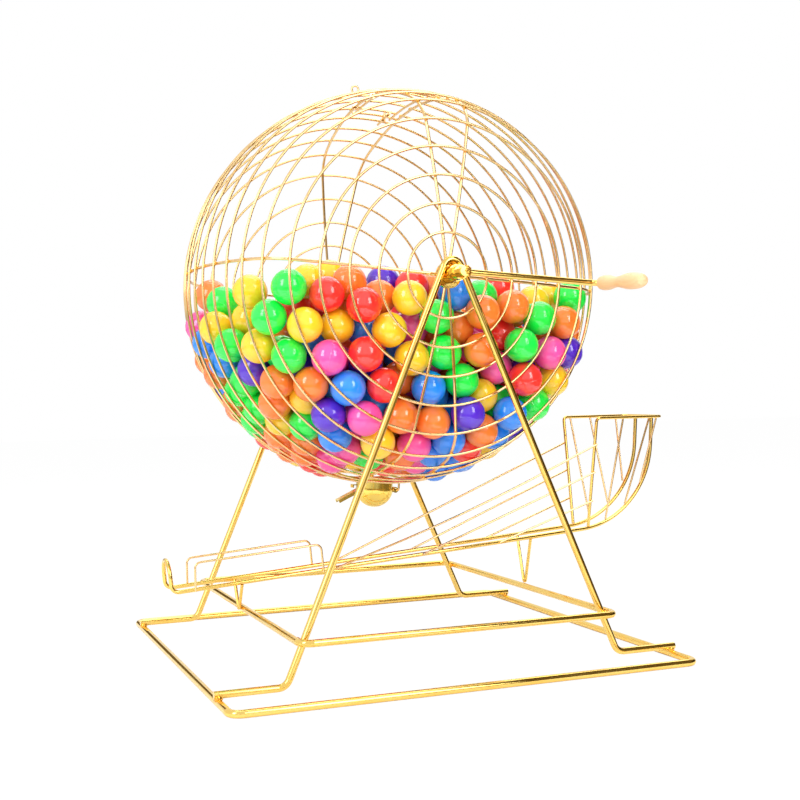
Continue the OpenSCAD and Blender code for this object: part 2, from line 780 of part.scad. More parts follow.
module wooden_grip() {
    steps = 40;
    color(wood) on_spindle(grip_start) difference() {
        rotate_extrude() polygon(concat(
            [[0, 0]],
            [for (i = [0 : steps]) [grip_half(i / steps), grip_len * i / steps]],
            [[0, grip_len]]
        ));
        translate([0, 0, -1]) cylinder(h = grip_len + 2, d = crank_d + 2 * run_fit);
        translate([0, 0, grip_len - pocket_depth]) cylinder(h = pocket_depth + 1, d = pocket_d);
    }
}

// Turned button that closes the pocket over the screw, with a low domed face
module grip_button() {
    lip_r = grip_half(1);
    dome_r = (lip_r * lip_r + button_rise * button_rise) / (2 * button_rise);
    color(wood) on_spindle(grip_end + weld_gap) {
        intersection() {
            cylinder(h = button_rise + 1, r = 2 * lip_r);
            translate([0, 0, button_rise - dome_r]) sphere(r = dome_r);
        }
        translate([0, 0, -button_stem]) cylinder(h = button_stem + 0.5, d = pocket_d - 2 * fixed_fit);
    }
}

module grip_washer() {
    color(pale_gold) on_spindle(grip_end - pocket_depth + rest_gap) difference() {
        cylinder(h = 1, d = pocket_d - 0.8);
        translate([0, 0, -1]) cylinder(h = 3, d = grip_screw_d + 2 * run_fit);
    }
}

module grip_screw() {
    color([0.6, 0.48, 0.25]) on_spindle(grip_end - pocket_depth + rest_gap + 1 + weld_gap) {
        difference() {
            cylinder(h = 2.4, d = 6);
            translate([-4, -0.4, 1.4]) cube([8, 0.8, 2]);
        }
        translate([0, 0, -grip_screw_len]) cylinder(h = grip_screw_len + 0.5, d = grip_screw_d);
    }
}

// Door of two lengthwise and six crosswise wires that covers the gap in the middle rings
module door_frame() {
    side_r = barrel_arc_r + door_lift - door_wire_d - weld_gap;
    half_a = asin((door_end_y + 1) / barrel_arc_r);
    over = (rib_d / 2 + 1.5) / cage_r * 180 / PI;
    side_a = door_angle + 0.3;
    color(pale_gold) in_cage() {
        for (s = [-1, 1])
            at_angle(90 + s * door_angle) arc_wire(barrel_c, side_r, -half_a, half_a, door_wire_d);
        for (s = [-1, 1]) {
            y = s * door_end_y;
            ring_wire(barrel_r_at(y) + door_lift, y, door_wire_d,
                90 - pair_angle - over, pair_angle + over + side_a);
        }
        for (s = [-1, 1], i = [0, 1]) {
            p = curve_at(ring_s(i));
            ring_wire(p[0] + door_lift, s * p[1], door_wire_d, 90 - side_a, 2 * side_a);
        }
    }
}

// Two rolled eyes round the left door wire of the cage, each with a tail to the door
module door_hinge_eyes() {
    wire_r = barrel_r_at(eye_y) - rib_lay;
    bore_r = rib_d / 2 + eye_play;
    eye_r = bore_r + eye_wall;
    reach = 2 * wire_r * sin((pair_angle - door_angle) / 2) - door_wire_d / 2 - weld_gap;
    color(gold) in_cage() for (s = [-1, 1])
        rotate([0, -(90 + pair_angle), 0]) translate([wire_r, s * eye_y, 0]) difference() {
            union() {
                rotate([90, 0, 0]) cylinder(h = eye_len, r = eye_r, center = true);
                rotate([180, 0, 0]) cylinder(h = reach - 0.1, d = eye_wire_d);
            }
            rotate([90, 0, 0]) cylinder(h = eye_len + 1, r = bore_r, center = true);
        }
}

// The bolt hangs below two of the door's crosswise wires and lies along the line between them
guide_r = bolt_d / 2 + rest_gap + 1.3;
guide_drop = door_wire_d / 2 + weld_gap + guide_r;
guide_a = [curve_at(ring_s(1))[0] + door_lift - guide_drop, curve_at(ring_s(1))[1]];
guide_b = [barrel_r_at(door_end_y) + door_lift - guide_drop, door_end_y];
guide_span = norm(guide_b - guide_a);
bolt_slope = atan2(guide_a.x - guide_b.x, guide_b.y - guide_a.y);
bolt_nose = (curve_at(ring_s(2))[1] - guide_a.y) / cos(bolt_slope) + 4;
bolt_grip_at = guide_span - door_wire_d / 2 - bolt_d / 2 - 0.7;

module on_bolt_line() {
    in_cage() at_angle(bolt_angle)
        translate([guide_a.x, guide_a.y, 0]) rotate([0, 0, bolt_slope]) children();
}

// Sliding bolt with an upright finger hook; its nose lies under the next whole ring
module door_bolt() {
    color(gold) on_bolt_line() {
        translate([0, -8, 0]) rotate([-90, 0, 0]) cylinder(h = 8 + bolt_nose, d = bolt_d);
        bent_rod([
            [0, bolt_grip_at, 0], [bolt_hook_h, bolt_grip_at, 0], [bolt_hook_h - 1, bolt_grip_at, -8]
        ], [0, 3, 0], bolt_d - 0.4);
    }
}

// Two loops that hang the bolt from the door's wires
module bolt_guides() {
    color(gold) on_bolt_line() for (y = [0, guide_span])
        translate([0, y, 0]) rotate([90, 0, 0]) difference() {
            cylinder(h = 3, r = guide_r, center = true);
            cylinder(h = 4, r = bolt_d / 2 + rest_gap, center = true);
        }
}

// Balls in close packed layers, kept inside the cage's inner surface of turning
layer_h = ball_pitch * sqrt(2 / 3);
row_y = ball_pitch * sqrt(3) / 2;
wire_room = rib_lay + rib_d / 2 + 0.5;
door_room = 9.6;

function ball_place(i, j, k) = [
    (i + (j % 2 == 0 ? 0 : 0.5) + (k % 2 == 0 ? 0 : 0.5)) * ball_pitch,
    j * row_y + (k % 2 == 0 ? 0 : row_y / 3) - 6,
    -cage_r + ball_d / 2 + door_room + k * layer_h
];

function ball_inside(p) =
    let (
        rad = norm([p.x, p.z]),
        y = abs(p.y),
        room = ball_d / 2 + (y < curve_at(ring_s(2))[1] + 32 ? door_room : wire_room),
        a = atan2(y - shoulder_c.y, rad - shoulder_c.x)
    )
    p.z + ball_d / 2 <= pile_z - axle_z
    && norm([rad - barrel_c.x, y]) <= barrel_arc_r - room
    && norm([rad, y - dome_c.y]) <= dome_r - room
    && (a < shoulder_a || a > knee_a + 20
        || norm([rad - shoulder_c.x, y - shoulder_c.y]) <= shoulder_r - room);

function ball_colour(i, j, k) =
    let (f = abs(sin(i * 127.1 + j * 311.7 + k * 74.7) * 437.585))
    floor((f - floor(f)) * 7);

module balls(n, tint) {
    color(tint) translate([0, 0, axle_z])
        for (k = [0 : 12], j = [-5 : 6], i = [-7 : 7])
            if (ball_colour(i, j, k) == n && ball_inside(ball_place(i, j, k)))
                translate(ball_place(i, j, k)) difference() {
                    sphere(d = ball_d);
                    sphere(d = ball_d - 2 * ball_wall);
                }
}

module orange_balls() balls(0, [1.0, 0.45, 0.13]);
module yellow_balls() balls(1, [1.0, 0.86, 0.15]);
module green_balls() balls(2, [0.1, 0.82, 0.3]);
module red_balls() balls(3, [0.95, 0.2, 0.15]);
module pink_balls() balls(4, [1.0, 0.38, 0.75]);
module blue_balls() balls(5, [0.15, 0.55, 0.95]);
module purple_balls() balls(6, [0.38, 0.12, 0.75]);

base_frame();
front_a_frame();
rear_a_frame();
raised_frame();
front_bearing_sleeve();
rear_bearing_sleeve();
chute_rail_rod();
front_guard_hoop();
rear_guard_hoop();
left_prop();
right_prop();
front_side_wires();
rear_side_wires();
basket_rim();
front_basket_ribs();
rear_basket_ribs();
front_axle();
rear_axle();
front_hub_plate();
rear_hub_plate();
axle_washers();
front_dome_rings();
rear_dome_rings();
front_shoulder_rings();
rear_shoulder_rings();
front_barrel_rings();
rear_barrel_rings();
door_side_rings();
outlet_rings();
door_rib_left();
door_rib_right();
left_rib();
right_rib();
outlet_rib_left();
outlet_rib_right();
outlet_collar();
outlet_hinge_wire();
outlet_stop();
door_stay_loop();
crank_boss();
crank_rod();
rear_collar();
set_screws();
grip_washer();
grip_screw();
door_frame();
door_hinge_eyes();
bolt_guides();
door_bolt();
outlet_cup();
release_lever();
wooden_grip();
grip_button();
orange_balls();
yellow_balls();
green_balls();
red_balls();
pink_balls();
blue_balls();
purple_balls();
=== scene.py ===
# Looks of a ball draw cage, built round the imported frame:
# plated wire, weld spots, a wooden grip, glossy balls and a studio
import math

import bmesh
import bpy
import numpy as np
from mathutils import Matrix, Vector


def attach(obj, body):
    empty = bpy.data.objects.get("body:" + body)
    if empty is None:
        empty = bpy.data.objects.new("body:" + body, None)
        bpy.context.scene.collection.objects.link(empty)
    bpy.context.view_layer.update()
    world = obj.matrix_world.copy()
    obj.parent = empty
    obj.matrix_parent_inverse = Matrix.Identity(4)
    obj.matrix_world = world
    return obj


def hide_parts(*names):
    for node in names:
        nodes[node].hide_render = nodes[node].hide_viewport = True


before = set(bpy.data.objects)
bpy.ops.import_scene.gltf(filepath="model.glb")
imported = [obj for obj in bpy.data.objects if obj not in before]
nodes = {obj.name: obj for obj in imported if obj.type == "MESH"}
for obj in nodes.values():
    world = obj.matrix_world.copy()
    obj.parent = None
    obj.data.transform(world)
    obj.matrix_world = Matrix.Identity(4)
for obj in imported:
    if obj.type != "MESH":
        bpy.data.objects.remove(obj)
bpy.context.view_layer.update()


# The camera stands where the photograph was taken from; places in metres, angles in degrees

photoCamera = {
    "place": (-0.55275, -1.480, 0.3202),
    "turn": 21.204,  # to the right of straight back
    "tilt": -0.4648,
    "roll": -1.1514,
    "lens": 56.30,
    "sensor": 36.0,
    "side": 800,  # the picture's side in pixels
    "nearest": 0.05,
}


def cameraAxes():
    turn, tilt, roll = (math.radians(photoCamera[key]) for key in ("turn", "tilt", "roll"))
    ahead = Vector((math.sin(turn) * math.cos(tilt), math.cos(turn) * math.cos(tilt), math.sin(tilt)))
    level = Vector((math.cos(turn), -math.sin(turn), 0))
    upright = level.cross(ahead)
    right = level * math.cos(roll) + upright * math.sin(roll)
    up = upright * math.cos(roll) - level * math.sin(roll)
    return right, up, ahead


def toPixel(place):
    right, up, ahead = cameraAxes()
    focal = photoCamera["lens"] / photoCamera["sensor"] * photoCamera["side"]
    half = photoCamera["side"] / 2
    away = Vector(place) - Vector(photoCamera["place"])
    depth = away.dot(ahead)
    return half + focal * away.dot(right) / depth, half - focal * away.dot(up) / depth


def pixelRay(across, down):
    right, up, ahead = cameraAxes()
    focal = photoCamera["lens"] / photoCamera["sensor"] * photoCamera["side"]
    half = photoCamera["side"] / 2
    return (ahead + right * ((across - half) / focal) + up * ((half - down) / focal)).normalized()


def makeCamera():
    data = bpy.data.cameras.new("photoCamera")
    data.lens = photoCamera["lens"]
    data.sensor_width = photoCamera["sensor"]
    data.clip_start = photoCamera["nearest"]
    camera = bpy.data.objects.new("photoCamera", data)
    right, up, ahead = cameraAxes()
    turned = Matrix((right, up, -ahead)).transposed().to_4x4()
    camera.matrix_world = Matrix.Translation(photoCamera["place"]) @ turned
    bpy.context.scene.collection.objects.link(camera)
    bpy.context.scene.camera = camera


makeCamera()
print("camera in place")


# Shader maths: a Tap is one output of a node, and sums on taps add Math nodes

class Tap:
    def __init__(self, finish, socket):
        self.finish = finish
        self.socket = socket

    def maths(self, operation, left, right):
        return self.finish.node("ShaderNodeMath", {"operation": operation}, {0: left, 1: right})

    def __add__(self, other):
        return self.maths("ADD", self, other)

    def __radd__(self, other):
        return self.maths("ADD", other, self)

    def __sub__(self, other):
        return self.maths("SUBTRACT", self, other)

    def __rsub__(self, other):
        return self.maths("SUBTRACT", other, self)

    def __mul__(self, other):
        return self.maths("MULTIPLY", self, other)

    def __rmul__(self, other):
        return self.maths("MULTIPLY", other, self)


class Finish:
    def __init__(self, name, kind="materials"):
        self.material = getattr(bpy.data, kind).new(name)
        self.material.use_nodes = True
        self.tree = self.material.node_tree
        self.tree.nodes.clear()

    def node(self, kind, settings=None, sockets=None, out=0):
        made = self.tree.nodes.new(kind)
        for key, value in (settings or {}).items():
            setattr(made, key, value)
        for key, value in (sockets or {}).items():
            if isinstance(value, Tap):
                self.tree.links.new(value.socket, made.inputs[key])
            else:
                made.inputs[key].default_value = value
        return Tap(self, made.outputs[out]) if made.outputs else made

    def place(self, scale=(1, 1, 1)):
        coords = self.node("ShaderNodeTexCoord", out="Object")
        return self.node("ShaderNodeMapping", None, {"Vector": coords, "Scale": scale})

    def noise(self, where, scale, detail=2.0, rough=0.5):
        sockets = {"Vector": where, "Scale": scale, "Detail": detail, "Roughness": rough}
        return self.node("ShaderNodeTexNoise", None, sockets)

    def mask(self, value, band):
        return self.node("ShaderNodeMapRange", None, {0: value, 1: band[0], 2: band[1], 3: 0.0, 4: 1.0})

    def mix(self, share, first, second):
        first, second = (c if isinstance(c, Tap) else (*c, 1) for c in (first, second))
        return self.node("ShaderNodeMix", {"data_type": "RGBA"}, {0: share, 6: first, 7: second}, out=2)

    def bump(self, height, strength, distance):
        sockets = {"Height": height, "Strength": strength, "Distance": distance}
        return self.node("ShaderNodeBump", None, sockets)

    def attribute(self, name):
        return self.node("ShaderNodeAttribute", {"attribute_name": name}, out="Fac")

    def size(self, value):
        return self.node("ShaderNodeMath", {"operation": "ABSOLUTE"}, {0: value})

    def surface(self, sockets):
        shader = self.node("ShaderNodeBsdfPrincipled", None, sockets)
        self.finishWith(shader)
        return self.material

    def finishWith(self, shader):
        self.node("ShaderNodeOutputMaterial", None, {"Surface": shader})


# Plated metal: slow colour change of the plating, fine pits, and a duller, browner film in patches

rodGold = {
    "pale": (1.0, 0.73, 0.22),
    "deep": (1.0, 0.65, 0.15),
    "film": (0.80, 0.42, 0.07),
    "filmShare": 0.25,
    "filmBand": (0.80, 1.02),
    "toneBand": (0.45, 0.85),
    "patches": 22,  # patches and pits per metre
    "pits": 700,
    "rubs": 6,  # rubbed spots to a patch
    "rubStretch": (1, 1, 0.3),
    "smooth": 0.045,
    "dull": 0.13,
    "dent": 0.035,
    "dentDepth": 0.0002,
}
wireGold = dict(
    rodGold, pale=(0.98, 0.73, 0.39), deep=(0.94, 0.62, 0.27), filmShare=0.35, smooth=0.08, dull=0.18
)
cupGold = dict(
    rodGold, pale=(1.0, 0.77, 0.20), deep=(1.0, 0.70, 0.13), filmShare=0.1, smooth=0.07, dull=0.15
)
weldGold = dict(
    rodGold, pale=(1.0, 0.57, 0.11), deep=(0.90, 0.43, 0.06), filmShare=0.4, smooth=0.14, dull=0.28
)
screwBrass = dict(
    rodGold, pale=(0.72, 0.56, 0.30), deep=(0.48, 0.35, 0.17), film=(0.20, 0.14, 0.08), smooth=0.2
)


def platedMetal(name, look):
    finish = Finish(name)
    where = finish.place()
    cloud = finish.noise(where, look["patches"], 3.0)
    pits = finish.noise(where, look["pits"], 2.0)
    rubbed = finish.noise(finish.place(look["rubStretch"]), look["patches"] * look["rubs"], 4.0, 0.6)
    film = finish.mask(cloud + rubbed * 0.5, look["filmBand"]) * look["filmShare"]
    tone = finish.mask(cloud + rubbed * 0.3, look["toneBand"])
    colour = finish.mix(film, finish.mix(tone, look["deep"], look["pale"]), look["film"])
    worn = finish.mask(cloud + pits * 0.3, look["toneBand"])
    rough = look["smooth"] + (look["dull"] - look["smooth"]) * worn
    normal = finish.bump(pits * 0.6 + rubbed * 0.4, look["dent"], look["dentDepth"])
    return finish.surface({"Base Color": colour, "Metallic": 1.0, "Roughness": rough, "Normal": normal})


# Turned wood: long fibres along the grip and short darker flecks

gripWood = {
    "pale": (0.92, 0.62, 0.34),
    "warm": (0.90, 0.52, 0.26),
    "fleck": (0.66, 0.35, 0.16),
    "fibres": (420, 14, 420),
    "flecks": (900, 60, 900),
    "clouds": 26,
    "toneBand": (0.36, 0.64),
    "fleckBand": (0.62, 0.72),
    "fleckShare": 0.45,
    "rough": 0.42,
    "rougher": 0.12,
    "dent": 0.25,
    "dentDepth": 0.0003,
    "coat": 0.25,
    "coatRough": 0.3,
    "soft": 0.08,
    "softReach": (0.004, 0.002, 0.001),
}


def turnedWood(name, look):
    finish = Finish(name)
    fibres = finish.noise(finish.place(look["fibres"]), 1.0, 4.0, 0.6)
    flecks = finish.noise(finish.place(look["flecks"]), 1.0, 2.0)
    cloud = finish.noise(finish.place(), look["clouds"], 2.0)
    tone = finish.mask(fibres * 0.6 + cloud * 0.4, look["toneBand"])
    speck = finish.mask(flecks, look["fleckBand"]) * look["fleckShare"]
    colour = finish.mix(speck, finish.mix(tone, look["warm"], look["pale"]), look["fleck"])
    rough = look["rough"] + look["rougher"] * fibres
    normal = finish.bump(fibres * 0.7 - flecks * 0.3, look["dent"], look["dentDepth"])
    return finish.surface({
        "Base Color": colour, "Roughness": rough, "Normal": normal,
        "Coat Weight": look["coat"], "Coat Roughness": look["coatRough"],
        "Subsurface Weight": look["soft"], "Subsurface Radius": look["softReach"],
    })


# Thin moulded plastic of the balls: tone differs from ball to ball, with a moulding line and scuffs

ballTints = {
    "orange": (1.0, 0.225, 0.022),
    "yellow": (1.0, 0.63, 0.016),
    "green": (0.004, 0.90, 0.070),
    "red": (0.98, 0.030, 0.022),
    "pink": (1.0, 0.090, 0.41),
    "blue": (0.008, 0.27, 0.98),
    "purple": (0.085, 0.012, 0.58),
}
ballPlastic = {
    "smooth": 0.06,
    "scuffed": 0.2,
    "scuffs": 240,  # scuffs and clouds per metre
    "clouds": 60,
    "scuffBand": (0.5, 0.72),
    "toneBand": (0.0, 1.25),
    "paleShare": 0.94,  # the palest tone is this much of the tint, and a little white
    "paleLift": 0.05,
    "deepShare": 0.86,
    "ownTint": 0.55,  # the least share of a ball's own tint, and what its tone adds to it
    "ownGain": 0.25,
    "tintBand": (0.1, 0.9),
    "line": 0.03,  # half width of the moulding line, as a share of the radius
    "lineCore": 0.4,
    "lineShare": 0.35,
    "lineDepth": 0.0004,
    "dent": 0.5,
    "index": 1.5,
    "shine": 1.0,
    "soft": 0.35,
    "softReach": (0.012, 0.012, 0.012),
    "softScale": 0.5,
}


def mouldedPlastic(name, tint, look):
    finish = Finish(name)
    tone = finish.attribute("ballTone")
    seam = finish.size(finish.attribute("seamHeight"))
    line = 1 - finish.mask(seam, (look["line"] * look["lineCore"], look["line"]))
    where = finish.place()
    scuffs = finish.noise(where, look["scuffs"], 4.0, 0.65)
    cloud = finish.noise(where, look["clouds"], 1.0)
    pale = tuple(min(1.0, c * look["paleShare"] + look["paleLift"]) for c in tint)
    deep = tuple(c * look["deepShare"] for c in tint)
    colour = finish.mix(finish.mask(tone + cloud * 0.25, look["toneBand"]), deep, pale)
    own = finish.mask(tone, look["tintBand"]) * look["ownGain"] + look["ownTint"]
    colour = finish.mix(own, colour, tint)
    colour = finish.mix(line * look["lineShare"], colour, pale)
    scuffed = finish.mask(scuffs, look["scuffBand"])
    rough = look["smooth"] + (look["scuffed"] - look["smooth"]) * scuffed
    normal = finish.bump(line + scuffs * 0.12, look["dent"], look["lineDepth"])
    return finish.surface({
        "Base Color": colour, "Roughness": rough, "Normal": normal,
        "IOR": look["index"], "Specular IOR Level": look["shine"],
        "Subsurface Weight": look["soft"], "Subsurface Radius": look["softReach"],
        "Subsurface Scale": look["softScale"],
    })


metals = {
    "rod": platedMetal("polishedRodGold", rodGold),
    "wire": platedMetal("paleWireGold", wireGold),
    "cup": platedMetal("spunCupGold", cupGold),
    "weld": platedMetal("weldGold", weldGold),
    "screw": platedMetal("screwBrass", screwBrass),
}
wood = turnedWood("turnedWood", gripWood)
print("finishes made:", len(metals) + 1)


def dress(material, names):
    for name in names:
        slots = nodes[name].material_slots
        if not slots:
            nodes[name].data.materials.append(material)
        for each in slots:
            each.material = material


dress(metals["rod"], [
    "base_frame", "front_a_frame", "rear_a_frame", "raised_frame", "front_bearing_sleeve",
    "rear_bearing_sleeve", "chute_rail_rod", "left_prop", "right_prop", "basket_rim", "front_axle",
    "rear_axle", "front_hub_plate", "rear_hub_plate", "axle_washers", "crank_boss", "crank_rod",
    "rear_collar",
])
dress(metals["wire"], [
    "front_guard_hoop", "rear_guard_hoop", "front_side_wires", "rear_side_wires", "front_basket_ribs",
    "rear_basket_ribs", "front_dome_rings", "rear_dome_rings", "front_shoulder_rings",
    "rear_shoulder_rings", "front_barrel_rings", "rear_barrel_rings", "door_side_rings", "outlet_rings",
    "door_rib_left", "door_rib_right", "left_rib", "right_rib", "outlet_rib_left", "outlet_rib_right",
    "outlet_hinge_wire", "door_stay_loop", "door_frame", "door_hinge_eyes", "door_bolt", "bolt_guides",
])
dress(metals["cup"], ["outlet_cup", "outlet_collar", "outlet_stop", "release_lever"])
dress(metals["screw"], ["set_screws", "grip_screw", "grip_washer"])
dress(wood, ["wooden_grip", "grip_button"])
print("frame dressed")


# The cage's curve in radius and y, as the frame has it: barrel arc, shoulder arc and end dome

cage = {
    "axleZ": 0.446,
    "turn": 3.6,
    "ringR": 0.242,
    "barrelArcR": 0.420,
    "shoulderR": 0.075,
    "kneeR": 0.180,
    "poleY": 0.2106,
    "domeR": 0.866,
    "ringPitch": 0.0326,
    "rings": 11,
    "ringWire": 0.003,
    "doorPair": 8.3,  # degrees from the middle of the door, or of the outlet, to the ribs beside it
    "leftRib": 178.2,
}
barrelCentre = np.array((cage["ringR"] - cage["barrelArcR"], 0.0))
domeCentre = np.array((0.0, cage["poleY"] - cage["domeR"]))


def shoulderArc():
    knee = np.array((cage["kneeR"], domeCentre[1] + math.sqrt(cage["domeR"] ** 2 - cage["kneeR"] ** 2)))
    toKnee = knee - barrelCentre
    reach = math.hypot(*toKnee)
    gap = cage["barrelArcR"] - cage["shoulderR"]
    cosine = (reach ** 2 + gap ** 2 - cage["shoulderR"] ** 2) / (2 * reach * gap)
    start = math.atan2(toKnee[1], toKnee[0]) - math.acos(cosine)
    centre = barrelCentre + gap * np.array((math.cos(start), math.sin(start)))
    end = math.atan2(knee[1] - centre[1], knee[0] - centre[0])
    return centre, start, end, math.atan2(knee[1] - domeCentre[1], knee[0])


shoulderCentre, shoulderStart, shoulderEnd, domeStart = shoulderArc()


def curveAt(length):
    barrelLength = cage["barrelArcR"] * shoulderStart
    shoulderLength = cage["shoulderR"] * (shoulderEnd - shoulderStart)
    if length <= barrelLength:
        centre, radius, angle = barrelCentre, cage["barrelArcR"], length / cage["barrelArcR"]
    elif length <= barrelLength + shoulderLength:
        centre, radius = shoulderCentre, cage["shoulderR"]
        angle = shoulderStart + (length - barrelLength) / radius
    else:
        centre, radius = domeCentre, cage["domeR"]
        angle = domeStart + (length - barrelLength - shoulderLength) / radius
    return centre[0] + radius * math.cos(angle), centre[1] + radius * math.sin(angle), angle


ringPlaces = [curveAt((i + 0.5) * cage["ringPitch"]) for i in range(cage["rings"])]


def cagePoint(radius, y, angle):
    # world place of a point at that angle round the axle, counted as the frame counts the cage's wires
    turned = math.radians(angle - cage["turn"])
    return Vector((radius * math.cos(turned), y, radius * math.sin(turned) + cage["axleZ"]))


# Balls: those seen in the picture lie on their view rays, and the rest fill the space behind and settle

ballPile = {
    "radius": 0.020,
    "count": 500,
    "seed": 7,
    "top": 0.002,  # highest top of a ball that isn't seen, from the axle
    "steps": 620,
    "fallSteps": 0.75,  # the share of the steps in which balls fall
    "fall": 0.0006,
    "forward": 0.0002,  # how far a seen ball comes towards the camera in a step
    "spring": 0.42,
    "holdSteps": 0.8,
    "firmHold": 0.9,  # how much of its way back to its view ray a seen ball goes in a step
    "looseHold": 0.12,
    "bulge": 0.0062,  # how far a ball stands out between two rings
    "ribRoom": 0.0058,
    "outletRoom": 0.0098,
    "outletReach": 0.0445,  # half the outlet's length along the axle, with room for a ball
    "leastRadius": 0.05,
    "shoulderSlack": 0.35,
    "clearAngles": (0, 90, 180, 270),
    "peepReach": 11,  # a hidden ball this near to a listed one, in pixels, has its colour
    "depths": (1.05, 2.1, 0.002),  # tried along a view ray: first, last and step
    "seatNear": 0.001,  # how far past the cage's inside a seen ball may start
    "seatSlack": 0.0005,
    "roundness": 3,
    "seatGap": 1.97,  # least distances between middles, in radii
    "gridGap": 1.72,
    "gridPitch": 2.02,
    "gridLow": -0.222,
    "gridLayers": 14,
    "gridRows": 6,  # rows and columns on each side of the middle
    "gridColumns": 7,
    "gridUneven": 0.003,
    "gridPast": 0.006,  # how far past the cage's inside a place may lie
}
rowPitch, layerShift, layerPitch = 0.866, 0.29, 0.8165  # of the closest packing, in diameters

# Where the middles of the seen balls are, in the picture's pixels
ballsInFront = {
    "green": [
        (289, 287), (269, 317), (289, 356), (232, 345), (571, 298), (540, 318), (438, 317), (521, 345),
        (444, 353), (463, 383),
    ],
    "yellow": [(250, 292), (305, 325), (389, 330), (216, 328), (380, 444), (410, 298), (414, 359)],
    "red": [(327, 294), (364, 305), (366, 354), (527, 381)],
    "pink": [(329, 358), (366, 419), (551, 353), (414, 450)],
    "blue": [(226, 364), (348, 388), (455, 294), (429, 388), (507, 414)],
    "purple": [(250, 372), (329, 416), (471, 417)],
    "orange": [
        (279, 385), (310, 386), (482, 314), (514, 311), (569, 329), (481, 350), (435, 425), (481, 436),
    ],
}
ballsBehind = {
    "green": [
        (223, 303), (246, 389), (260, 413), (305, 422), (372, 457), (481, 297), (496, 406), (544, 406),
    ],
    "orange": [
        (211, 296), (349, 283), (345, 304), (275, 406), (283, 438), (307, 441), (205, 363), (216, 381),
        (237, 407), (379, 297), (432, 290), (459, 329), (402, 417),
    ],
    "yellow": [
        (248, 320), (337, 326), (259, 346), (308, 282), (350, 463), (329, 279), (533, 302), (547, 299),
        (554, 382), (480, 393), (494, 446),
    ],
    "purple": [(383, 283), (511, 430)],
    "pink": [(201, 327), (342, 455), (411, 328), (496, 370)],
    "blue": [(207, 349), (337, 439), (220, 393), (364, 330), (448, 442), (460, 457), (434, 457)],
    "red": [
        (384, 387), (313, 457), (317, 307), (386, 466), (266, 437), (294, 306), (412, 287), (498, 288),
        (496, 336), (533, 407),
    ],
}
# How often the hidden balls have each colour
hiddenShares = {"orange": 5, "yellow": 5, "green": 5, "red": 4, "pink": 3, "blue": 4, "purple": 2}


def pulledIn(radius, y, centre, limit, where=True):
    outX, outY = radius - centre[0], y - centre[1]
    share = np.where(where, np.minimum(1, limit / (np.hypot(outX, outY) + 1e-12)), 1)
    return centre[0] + outX * share, centre[1] + outY * share


def heldInCage(places):
    # ball centres moved back inside the rings, and clear of the ribs and the outlet's collar
    radius, y = np.hypot(places[:, 0], places[:, 2]), np.abs(places[:, 1])
    first = np.maximum(radius, 1e-9)
    around = np.degrees(np.arctan2(places[:, 2], places[:, 0])) + cage["turn"]
    lean = np.degrees(ballPile["radius"] / np.maximum(radius, ballPile["leastRadius"]))
    nearWire = np.zeros(len(places), bool)
    for angle in ballPile["clearAngles"]:
        nearWire |= np.abs((around - angle + 180) % 360 - 180) < cage["doorPair"] + lean
    wireRoom = np.where(y < ballPile["outletReach"], ballPile["outletRoom"], ballPile["ribRoom"])
    room = np.where(nearWire, wireRoom, -ballPile["bulge"]) + ballPile["radius"]
    for _ in range(2):
        radius, y = pulledIn(radius, y, barrelCentre, cage["barrelArcR"] - room)
        radius, y = pulledIn(radius, y, domeCentre, cage["domeR"] - room)
        corner = np.arctan2(y - shoulderCentre[1], radius - shoulderCentre[0])
        inCorner = (corner > shoulderStart) & (corner < shoulderEnd + ballPile["shoulderSlack"])
        radius, y = pulledIn(radius, y, shoulderCentre, cage["shoulderR"] - room, inCorner)
        reach = ballPile["radius"] + cage["ringWire"] / 2
        for ringR, ringY, _ in ringPlaces:
            for side in (1, -1):
                outR, outY = radius - ringR, y - side * ringY
                away = np.hypot(outR, outY) + 1e-12
                share = np.where(away < reach, reach / away, 1)
                radius, y = ringR + outR * share, side * ringY + outY * share
    grow = radius / first
    facing = np.where(places[:, 1] < 0, -1, 1)
    return np.stack([places[:, 0] * grow, y * facing, places[:, 2] * grow], axis=1)


def seatSeenBalls(eye):
    # along its view ray, each ball goes to the first place that is inside the cage and free
    seated, rays, tints = [], [], []
    depths = np.arange(*ballPile["depths"])
    least = ballPile["seatGap"] * ballPile["radius"]
    for layer in (ballsInFront, ballsBehind):
        for tint, spots in layer.items():
            for across, down in spots:
                ray = np.array(pixelRay(across, down))
                tries = eye + depths[:, None] * ray
                moved = np.linalg.norm(heldInCage(tries) - tries, axis=1)
                near = max(ballPile["seatNear"], moved.min() + ballPile["seatSlack"])
                at = int(np.argmax(moved < near))
                while seated and at < len(depths) - 1:
                    if np.linalg.norm(np.array(seated) - tries[at], axis=1).min() > least:
                        break
                    at += 1
                seated.append(tries[at])
                rays.append(ray)
                tints.append(tint)
    return np.array(seated), np.array(rays), tints


def looseGrid(dice, seated):
    pitch = ballPile["gridPitch"] * ballPile["radius"]
    rows, columns = ballPile["gridRows"], ballPile["gridColumns"]
    spots = []
    for layer in range(ballPile["gridLayers"]):
        for row in range(-rows, rows + 1):
            for column in range(-columns, columns + 1):
                x = (column + 0.5 * (row % 2) + 0.5 * (layer % 2)) * pitch
                y = (row * rowPitch + layerShift * (layer % 2)) * pitch
                spots.append((x, y, ballPile["gridLow"] + layer * pitch * layerPitch))
    spots = np.array(spots) + dice.normal(0, ballPile["gridUneven"], (len(spots), 3))
    inside = np.linalg.norm(heldInCage(spots) - spots, axis=1) < ballPile["gridPast"]
    nearest = np.linalg.norm(spots[:, None] - seated[None], axis=2).min(axis=1)
    spots = spots[inside & (nearest > ballPile["gridGap"] * ballPile["radius"])]
    return spots[np.argsort(spots[:, 2])][: max(0, ballPile["count"] - len(seated))]


